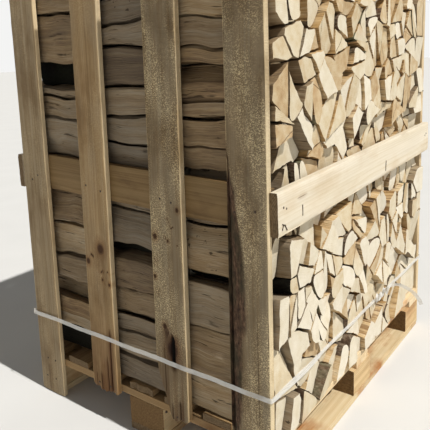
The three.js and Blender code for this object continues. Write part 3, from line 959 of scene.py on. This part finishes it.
def even_steps(outline, step):
    """The same outline with points at about even steps, and its sharp corners kept."""
    stepped = []
    carried = 0.0
    for k, (here, bark) in enumerate(outline):
        there = outline[(k + 1) % len(outline)][0]
        length = (there - here).length
        if bark:
            if carried == 0.0 or carried > step * 0.8:
                stepped.append((here, True))
                carried = 1e-6
            carried += length
        else:
            carried = 0.0
            count = max(1, round(length / step))
            stepped += [(here.lerp(there, i / count), False) for i in range(count)]
    return stepped


HARDWOOD_RINGS = 260.0  # year rings to the metre
SET_BACK_SHADE = 1.5  # the weather value given to a log that lies set back, which dyes it nearly black as painted shade


def sawn_end_finish():
    """A sawn end: cream wood with faint year rings, saw marks, drying cracks and a warm heart."""
    material, tree, shader = finish_of("sawn_log_end", 0.85, 0.2)
    grain, side, _, deep = parts_stored(tree, "grain")
    _, luck, turn, age = parts_stored(tree, "log")
    cosine, sine = ((turn * 6.28).made(operation) for operation in ("COSINE", "SINE"))
    along = side * cosine + deep * sine
    wobble = mottle(grain, (26, 26, 26))
    radius = wobble * 0.007 + distance(side, deep)
    rings = (radius * HARDWOOD_RINGS).made("FRACT")
    saw = (wobble * 14.0 + along * 1300.0).made("SINE")
    patch = mottle(grain, (30, 30, 30), 3.0, 0.6)
    tone = patch * 0.62 + luck * 0.55 + rings * 0.07 + saw * 0.02 - 0.06
    colour = tints(tone, [(0.15, "DED6C5"), (0.42, "D2C8B2"), (0.64, "C7B89A"), (0.82, "B79E79"),
                          (1.0, "9D7D57")])
    pores = mottle(grain, (650, 60, 650), 2.0, 0.7)
    colour = covered(colour, ranged(pores, 0.55, 0.75, 0.0, 0.5), "A58B66")
    heart = ranged(radius, 0.012, 0.05, 0.55, 0.0) * ranged(age, 0.5, 0.9)
    colour = covered(colour, heart, "B8966C")
    from_crack = ((wobble - 0.5) * 0.012 + (side * sine - deep * cosine)).made("ABSOLUTE")
    crack = ranged(from_crack, 0.0004, 0.0011, 1.0, 0.0) * ranged(along, 0.004, 0.012)
    crack = crack * ranged(luck, 0.45, 0.5)
    fuzz = mottle(grain, (170, 170, 170), 3.0, 0.7)
    height = fuzz * 1.6 + pores * 0.6 + saw * 0.22 - crack * 2.0
    dress(shader, covered(colour, crack, "4B3521"), height, 0.0008, 0.7)
    return material


def split_side_finish():
    """A split side: torn fibres along the grain, from straw to tan, browner where it is older."""
    material, tree, shader = finish_of("split_log_side", 0.88, 0.2)
    grain, *_ = parts_stored(tree, "grain")
    _, luck, turn, age = parts_stored(tree, "log")
    weather = stored(tree, "weather")
    fibres = mottle(grain, (420, 7, 420), 4.0, 0.6)
    streaks = mottle(grain, (65, 3, 65))
    clouds = mottle(grain, (14, 7, 14), 4.0, 0.6)
    colour = tints(fibres * 0.5 + streaks * 0.38 + clouds * 0.28 - luck * 0.22 - 0.12,
                   [(0.16, "7F5F3C"), (0.28, "B28F5C"), (0.42, "CFB388"), (0.6, "E3D3B2")])
    lines = mottle(grain, (150, 4, 150), 2.0, shift=(5, 2, 8))
    torn = ranged(age, 0.45, 0.75, 0.12, 0.75) * ranged(weather, 0.0, 1.0, 1.0, 0.35)
    torn = torn * ranged(lines, 0.5, 0.57)
    colour = covered(colour, torn, "7B5430")
    old = mottle(grain, (11, 5, 11), 5.0, 0.6, (2, 4, 6))
    colour = covered(colour, ranged(old, 0.5, 0.72, 0.0, 0.45), "8A765A")
    colour = covered(colour, weather * 0.35, "B0A08A")
    colour = dyed(colour, weather * 0.85, "9FA2AB")
    # Logs that lie set back are dyed nearly black: painted shade in the gap they leave.
    colour = dyed(colour, ranged(weather, 1.25, SET_BACK_SHADE), "4A4C42")
    buds = mottle(grain, (62, 40, 62), 2.0, shift=(4, 7, 3))
    colour = covered(colour, ranged(buds, 0.66, 0.71) * ranged(turn, 0.85, 0.88, 0.0, 0.8), "30241A")
    opened = ranged(mottle(grain, (95, 6, 95), 3.0, 0.7, (9, 1, 4)), 0.3, 0.37, 1.0, 0.0)
    colour = covered(colour, opened * 0.85, "2E2115")
    dress(shader, colour, fibres * 1.3 + streaks * 1.8 - opened * 1.2 - torn * 0.7, 0.0026)
    return material


def bark_finish():
    """Thin hardwood bark, grey to brown, with fine cracks and a green bloom of moss here and there."""
    material, tree, shader = finish_of("mossy_bark", 0.92, 0.15)
    grain, *_ = parts_stored(tree, "grain")
    crust = mottle(grain, (160, 60, 160), 5.0, 0.68)
    clouds = mottle(grain, (22, 12, 22), 4.0, 0.6)
    colour = tints(crust, [(0.3, "2B211A"), (0.48, "5F5141"), (0.62, "857765"), (0.8, "A59A88")])
    colour = covered(colour, ranged(clouds, 0.45, 0.62, 0.0, 0.55), "5A3A26")
    age = parts_stored(tree, "log")[3]
    colour = covered(colour, ranged(clouds, 0.62, 0.42) * ranged(age, 0.5, 0.85, 0.0, 0.6), "76785A")
    # Weathered bark is dulled, and the bark of a log that lies set back is dyed nearly black as painted
    # shade.
    shade = ranged(stored(tree, "weather"), 0.0, SET_BACK_SHADE)
    dress(shader, dyed(colour, shade * shade, "3C4038"), crust, 0.003, 0.9)
    return material


log_finishes = [sawn_end_finish(), split_side_finish(), bark_finish()]

RAIL_LEVELS = (0.82, 1.535)
RAIL_REACH = 0.086  # how far above and below its level a rail keeps logs away
RAIL_INSIDE = 0.5747
RAIL_SLOPE = 0.4
SLAT_INSIDE = 0.598
STRAP_LEVEL = (0.276, 0.332)
FLUSH = 0.4955  # how far the logs reach to the front and back where a rail or the strap crosses them

# How far back a log's end lies: most are nearly flush, and one in ten is well inside the stack.
RECESSES = ((0, 0.006), (0.003, 0.015), (0.012, 0.028), (0.03, 0.075))
RECESS_ODDS = (5, 3, 1, 1)
HIDDEN_RECESS = 0.012  # the most by which an end that does not show stops short of its tier
END_SLOPES = (0.06, 0.07)  # how far from square the saw cut, across and upwards
SPLIT_DEPTH, TORN_DEPTH = 0.0034, 0.0014  # of the furrows that run on along a split side or end on it
SAWN_EDGE = 0.0004  # how far a sawn end's edge is rubbed down
BOW, TAPER = 0.025, 0.045  # the most by which a log is thinner at its middle and at its hidden end
WIDENING = 0.07  # how much the back tier's outer logs spread again at their far ends
WORN_INSIDE, WORN_OUTSIDE = 0.0003, 0.0024  # how far the sides of inner and outer logs are rubbed down
SMOOTH_SHARE, SMOOTH_INSIDE = 0.4, 0.57  # outer logs are as smooth as this where they lie this far in
OPEN_LEFT, OPEN_RIGHT = -0.44, 0.5  # logs that reach past these have gone grey
SAWN, SPLIT, BARK = range(3)  # the places of a log's finishes in log_finishes


def clear_of_rails(cell):
    """What is left of a cell beside the side rails, or None where it stays clear of them.

    A log that only meets a rail's edge is cut on the slope, so that it still fills out to the slats.
    """
    bottom, top = min(p.y for p in cell), max(p.y for p in cell)
    for level in RAIL_LEVELS:
        if bottom >= level + RAIL_REACH or top <= level - RAIL_REACH:
            continue
        edge, slope = level, 0.0
        if bottom < level - RAIL_REACH:
            edge, slope = level - RAIL_REACH, RAIL_SLOPE
        elif top > level + RAIL_REACH:
            edge, slope = level + RAIL_REACH, -RAIL_SLOPE
        for side in (-1, 1):
            if len(cell) > 2:
                cell = cut_polygon(cell, Vector((side, slope)), RAIL_INSIDE + slope * edge)
                cell = cut_polygon(cell, Vector((side, 0)), SLAT_INSIDE)
        return cell
    return None


def trimmed(cell, kind, name, draw):
    """A cell cut back to the rails or the slats or, for a log that lies set back, behind them."""
    beside_rail = clear_of_rails(cell)
    if beside_rail is not None:
        return beside_rail
    if kind not in ("left", "back"):
        return cell
    slack = SET_BACK
    if kind == "left":
        slack = draw.uniform(0, 0.004 if name == "logs_front" else 0.012)
    return cut_polygon(cell, Vector((-1, 0)), SLAT_INSIDE - slack)


def log_ends(name, kind, bottom, top, draw):
    """Where a log that lies between two heights starts and ends from front to back."""
    low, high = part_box(name)
    bands = [STRAP_LEVEL, *((level - RAIL_REACH, level + RAIL_REACH) for level in RAIL_LEVELS)]
    crossed = any(top > lower and bottom < upper for lower, upper in bands)
    face = FLUSH if crossed else max(abs(low.y), abs(high.y))
    recesses = [draw.uniform(*span) for span in RECESSES]
    recess = draw.choice([depth for depth, odds in zip(recesses, RECESS_ODDS) for _ in range(odds)])
    if bottom <= RAIL_LEVELS[0]:
        recess *= 0.35
    if kind == "right":
        recess = draw.uniform(0, HIDDEN_RECESS)
    if name == "logs_front":
        return recess - face, high.y - draw.uniform(0, HIDDEN_RECESS)
    near = low.y + draw.uniform(0, HIDDEN_RECESS)
    if name == "logs_back":
        return near, face - recess
    return near, high.y - draw.uniform(0, HIDDEN_RECESS)


def settled(x, y, z, low, high, seed):
    """How far a spot in a tier is lifted or lowered by the crookedness of the logs there."""
    fade = np.clip((z - low.z) / 0.05, 0, 1) * np.clip((high.z - z) / 0.05, 0, 1)
    coarse, fine = lumps(z / 0.085 + x * 4, y / 0.13, seed), lumps(z / 0.06, y / 0.05 + x * 6, seed + 2)
    return SETTLE * fade * (coarse + 0.4 * fine)


def stack_tier(name, seed):
    """Builds one tier of logs as a single piece that stands for the CAD tier."""
    draw = random.Random(seed)
    low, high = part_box(name)
    points, faces, kinds, grain, traits, weather = [], [], [], [], [], []
    logs = [log for cell, kind in stack_cells(name, seed) for log in split_cell(cell, kind, draw)]
    for cell, kind in logs:
        inner = kind == "inner"
        bottom, top = min(p.y for p in cell), max(p.y for p in cell)
        cell = trimmed(cell, kind, name, draw)
        outline, pith = log_outline(cell, kind, draw) if len(cell) > 2 else (None, None)
        if outline is None:
            continue
        outline = even_steps(outline, SPLIT_STEP)
        count = len(outline)
        flat = np.array([p for p, _ in outline])
        barks = np.array([bark for _, bark in outline])
        centre = flat.mean(0)
        way = np.roll(flat, -1, 0) - np.roll(flat, 1, 0)
        lengths = np.maximum(np.linalg.norm(way, axis=1), 1e-6)
        inward = np.stack([-way[:, 1], way[:, 0]], 1) / lengths[:, None]
        log_seed = draw.uniform(0, 90)
        near, far = log_ends(name, kind, bottom, top, draw)
        lean = (flat - centre) @ np.array([draw.gauss(0, slope) for slope in END_SLOPES])
        lean = lean - lean.min()
        near_ends, far_ends = near + lean * (name == "logs_front"), far - lean * (name == "logs_back")
        run = np.arange(count)
        steady = SPLIT_DEPTH * np.abs(lumps(run * 0.6, run * 0, log_seed)) * ~barks
        bowed, thin = draw.uniform(0, BOW), draw.uniform(0, TAPER)
        worn = WORN_INSIDE if inner else WORN_OUTSIDE
        bare = np.where(inner | (np.abs(flat[:, 0]) > SMOOTH_INSIDE), 1.0, SMOOTH_SHARE)
        sections = SECTIONS if inner else SIDE_SECTIONS
        first = len(points)
        for t in sections:
            y = near_ends * (1 - t) + far_ends * t
            torn = TORN_DEPTH * np.abs(lumps(run * 0.55, run * 0 + t * 5, log_seed + 3)) * ~barks
            rough = worn * (1 + lumps(run * 0.3, run * 0 + t * 7, log_seed + 5))
            edge = SAWN_EDGE if t in (0.0, 1.0) else 0.0
            ring = flat + inward * ((steady + torn + rough) * bare + edge)[:, None]
            tapered = 1 - t if name == "logs_back" else t
            spread = WIDENING * t ** 3 if name == "logs_back" and not inner else 0.0
            squeeze = 1 - thin * tapered - bowed * sin(pi * t) + spread
            ring = centre + (ring - centre) * squeeze
            lift = settled(ring[:, 0], y, ring[:, 1], low, high, seed)
            points += zip(ring[:, 0], y, ring[:, 1] + lift)
            grain += zip(ring[:, 0] - pith.x, y + log_seed, ring[:, 1] - pith.y)
        faces += tube_faces(len(sections), count, first)
        kinds += [BARK if bark else SPLIT for bark in barks] * (len(sections) - 1)
        for start in (first, first + (len(sections) - 1) * count):
            middle = np.array(points[start:start + count]).mean(0)
            faces += [(start + k, start + (k + 1) % count, len(points)) for k in range(count)]
            kinds += [SAWN] * count
            points.append(tuple(middle))
            grain.append((middle[0] - pith.x, middle[1] + log_seed, middle[2] - pith.y))
        tone, turn, age = draw.random(), draw.random(), draw.random()
        tone = tone ** (0.95 if bottom > RAIL_LEVELS[0] else 1.5)
        traits += [(tone, turn, age)] * (len(points) - len(traits))
        outside = not inner or flat[:, 0].min() < OPEN_LEFT or flat[:, 0].max() > OPEN_RIGHT
        weathering_and_shade = draw.uniform(0.85, 1.2) if name == "logs_middle" else draw.uniform(0.6, 1.0)
        # A log that lies set back gets the value that paints it nearly black: painted shade.
        weathering_and_shade = SET_BACK_SHADE if kind == "back" else weathering_and_shade
        weather += [weathering_and_shade if outside else 0.0] * (len(points) - len(weather))
    tier = mesh_piece("split_" + name, points, faces, log_finishes, "split_logs", kinds)
    for title, values in (("grain", grain), ("log", traits), ("weather", weather)):
        store(tier, title, values)
    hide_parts(name)


for number, name in enumerate(LEFT_ROWS):
    stack_tier(name, 40 + number)


# ---------- The strap ----------
# One polypropylene band drawn tight round the whole crate low down, pressed flat against the
# slats and bridging the logs' ends, and tied off on the front in a crumpled knot.

STRAP_LOW, STRAP_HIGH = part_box("strap_loop")
STRAP_Z = (STRAP_LOW.z + STRAP_HIGH.z) / 2
STRAP_CORNER = 0.0035  # the radius it bends to at the crate's corners
OVERLAP_END, OVERLAP_LENGTH = -0.33, 0.3  # where and how long it runs double on the front
strap_draw = random.Random(11)


def strap_route(ease):
    """The band's middle line round the crate, a little slack where nothing bears on it."""
    half_x = (STRAP_HIGH.x - STRAP_LOW.x) / 2 - BAND_THICKNESS / 2 - 0.0002
    half_y = (STRAP_HIGH.y - STRAP_LOW.y) / 2 - BAND_THICKNESS / 2 - 0.0002
    corners = [(half_x, -half_y), (half_x, half_y), (-half_x, half_y), (-half_x, -half_y)]
    route = []
    for k, (x, y) in enumerate(corners):
        next_x, next_y = corners[(k + 1) % 4]
        centre = Vector((x - copysign(STRAP_CORNER, x), y - copysign(STRAP_CORNER, y)))
        for step in range(5):
            angle = -pi / 2 + (k + step / 4) * pi / 2
            spot = centre + Vector((cos(angle), sin(angle))) * STRAP_CORNER
            route.append(Vector((spot.x, spot.y, STRAP_Z)))
        start = route[-1].copy()
        stop = Vector((next_x - copysign(STRAP_CORNER, next_x) * (k % 2 == 1),
                       next_y - copysign(STRAP_CORNER, next_y) * (k % 2 == 0), STRAP_Z))
        pieces = 40
        for step in range(1, pieces):
            spot = start.lerp(stop, step / pieces)
            spot.z += ease * sin(step * 0.7 + k * 2) + 0.4 * ease * sin(step * 2.3 + k)
            route.append(spot)
    return route


loop_route = strap_route(0.0011)
overlap_route = []
for spot in loop_route:
    if spot.y < STRAP_LOW.y + 0.002 and STRAP_LOW.x + 0.002 < spot.x < OVERLAP_END:
        share = min((spot.x - STRAP_LOW.x) / OVERLAP_LENGTH, 1)
        overlap_route.append(spot + Vector((0, -0.0013, -0.008 * sin(pi * share) ** 0.7)))
for name, route, width, ring in (("band_overlap", overlap_route, 0.012, False),
                                 ("band_loop", loop_route, BAND_WIDTH, True)):
    points, faces = band_mesh(route, [Vector((0, 0, 1))] * len(route), width, ring=ring)
    strap = mesh_piece(name, points, faces, [milky_band], "strap_plastic")
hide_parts("strap_loop")  # the loop itself, which comes last of the two

KNOT_LOW, KNOT_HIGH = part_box("strap_knot")
knot_middle = (KNOT_LOW + KNOT_HIGH) / 2
knot_turns = []
FOLDS = 6
FOLD_REACH = 0.0175  # how far its folds swing up and down
KNOT_INSET = 0.006  # how far inside its ends they stay
crumpled_band = strap_finish("crumpled_band", 0.9)
for i in range(FOLDS * 2 + 1):
    share = i / (FOLDS * 2)
    x = KNOT_LOW.x + KNOT_INSET + share * (KNOT_HIGH.x - KNOT_LOW.x - 2 * KNOT_INSET)
    z = knot_middle.z + (FOLD_REACH if i % 2 else -FOLD_REACH) * strap_draw.uniform(0.6, 1.0)
    y = knot_middle.y + strap_draw.uniform(-0.006, 0.0036)
    knot_turns.append((x, y, z))
knot_route = smooth_route(knot_turns, 4)
knot_widths = []
for i in range(len(knot_route)):
    tip = i / 4 * pi
    knot_widths.append(Vector((0.5 * cos(tip), 0.55 * sin(tip * 0.5), 1)).normalized())
knot_points, knot_faces = band_mesh(knot_route, knot_widths, width=0.009)
knot = mesh_piece("band_knot", knot_points, knot_faces, [crumpled_band], "strap_plastic")
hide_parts("strap_knot")


# ---------- The floor and the light ----------
# A plain pale floor, one strong light with a soft edge from the front and above, and a sky that
# is pale round the horizon and dim overhead, so that it fills the shade without flattening it.

FLOOR_REACH = 60.0


def floor_finish():
    material, tree, shader = finish_of("pale_floor", 0.9, 0.1)
    dress(shader, tints(mottle(spot_on(tree), (3, 3, 3), 2.0), [(0.3, "D1D0CD"), (0.7, "D4D3D0")]))
    return material


floor_corners = [(-FLOOR_REACH, -FLOOR_REACH, 0), (FLOOR_REACH, -FLOOR_REACH, 0),
                 (FLOOR_REACH, FLOOR_REACH, 0), (-FLOOR_REACH, FLOOR_REACH, 0)]
floor_mesh = bpy.data.meshes.new("pale_floor")
floor_mesh.from_pydata(floor_corners, [], [(0, 1, 2, 3)])
floor_mesh.materials.append(floor_finish())
floor = bpy.data.objects.new("pale_floor", floor_mesh)
bpy.context.scene.collection.objects.link(floor)

SUN_HEIGHT = radians(57)
SUN_ASIDE = radians(1.7)
sun_data = bpy.data.lights.new("key_light", "SUN")
sun_data.energy = 4.15
sun_data.color = (1.0, 0.985, 0.955)
sun_data.angle = radians(1.2)
sun = bpy.data.objects.new("key_light", sun_data)
bpy.context.scene.collection.objects.link(sun)
sun_level = Vector((sin(SUN_ASIDE), cos(SUN_ASIDE), 0)) * cos(SUN_HEIGHT)
sun_travel = sun_level - Vector((0, 0, sin(SUN_HEIGHT)))
sun.rotation_mode = "QUATERNION"
sun.rotation_quaternion = sun_travel.to_track_quat("-Z", "Y")

SKY_LOW, SKY_HIGH = 0.92, 0.14  # its strength near the horizon and overhead
sky = bpy.data.worlds.new("pale_sky")
sky.use_nodes = True
sky_rise = parts_of(node(sky.node_tree, "ShaderNodeTexCoord", {}, "Generated"))[2]
sky_light = sky.node_tree.nodes["Background"]
sky_light.inputs[0].default_value = (0.985, 0.985, 0.975, 1.0)
sky.node_tree.links.new(ranged(sky_rise, 0.22, 0.42, SKY_LOW, SKY_HIGH).socket, sky_light.inputs[1])
bpy.context.scene.world = sky
bpy.context.scene.view_settings.view_transform = "Standard"
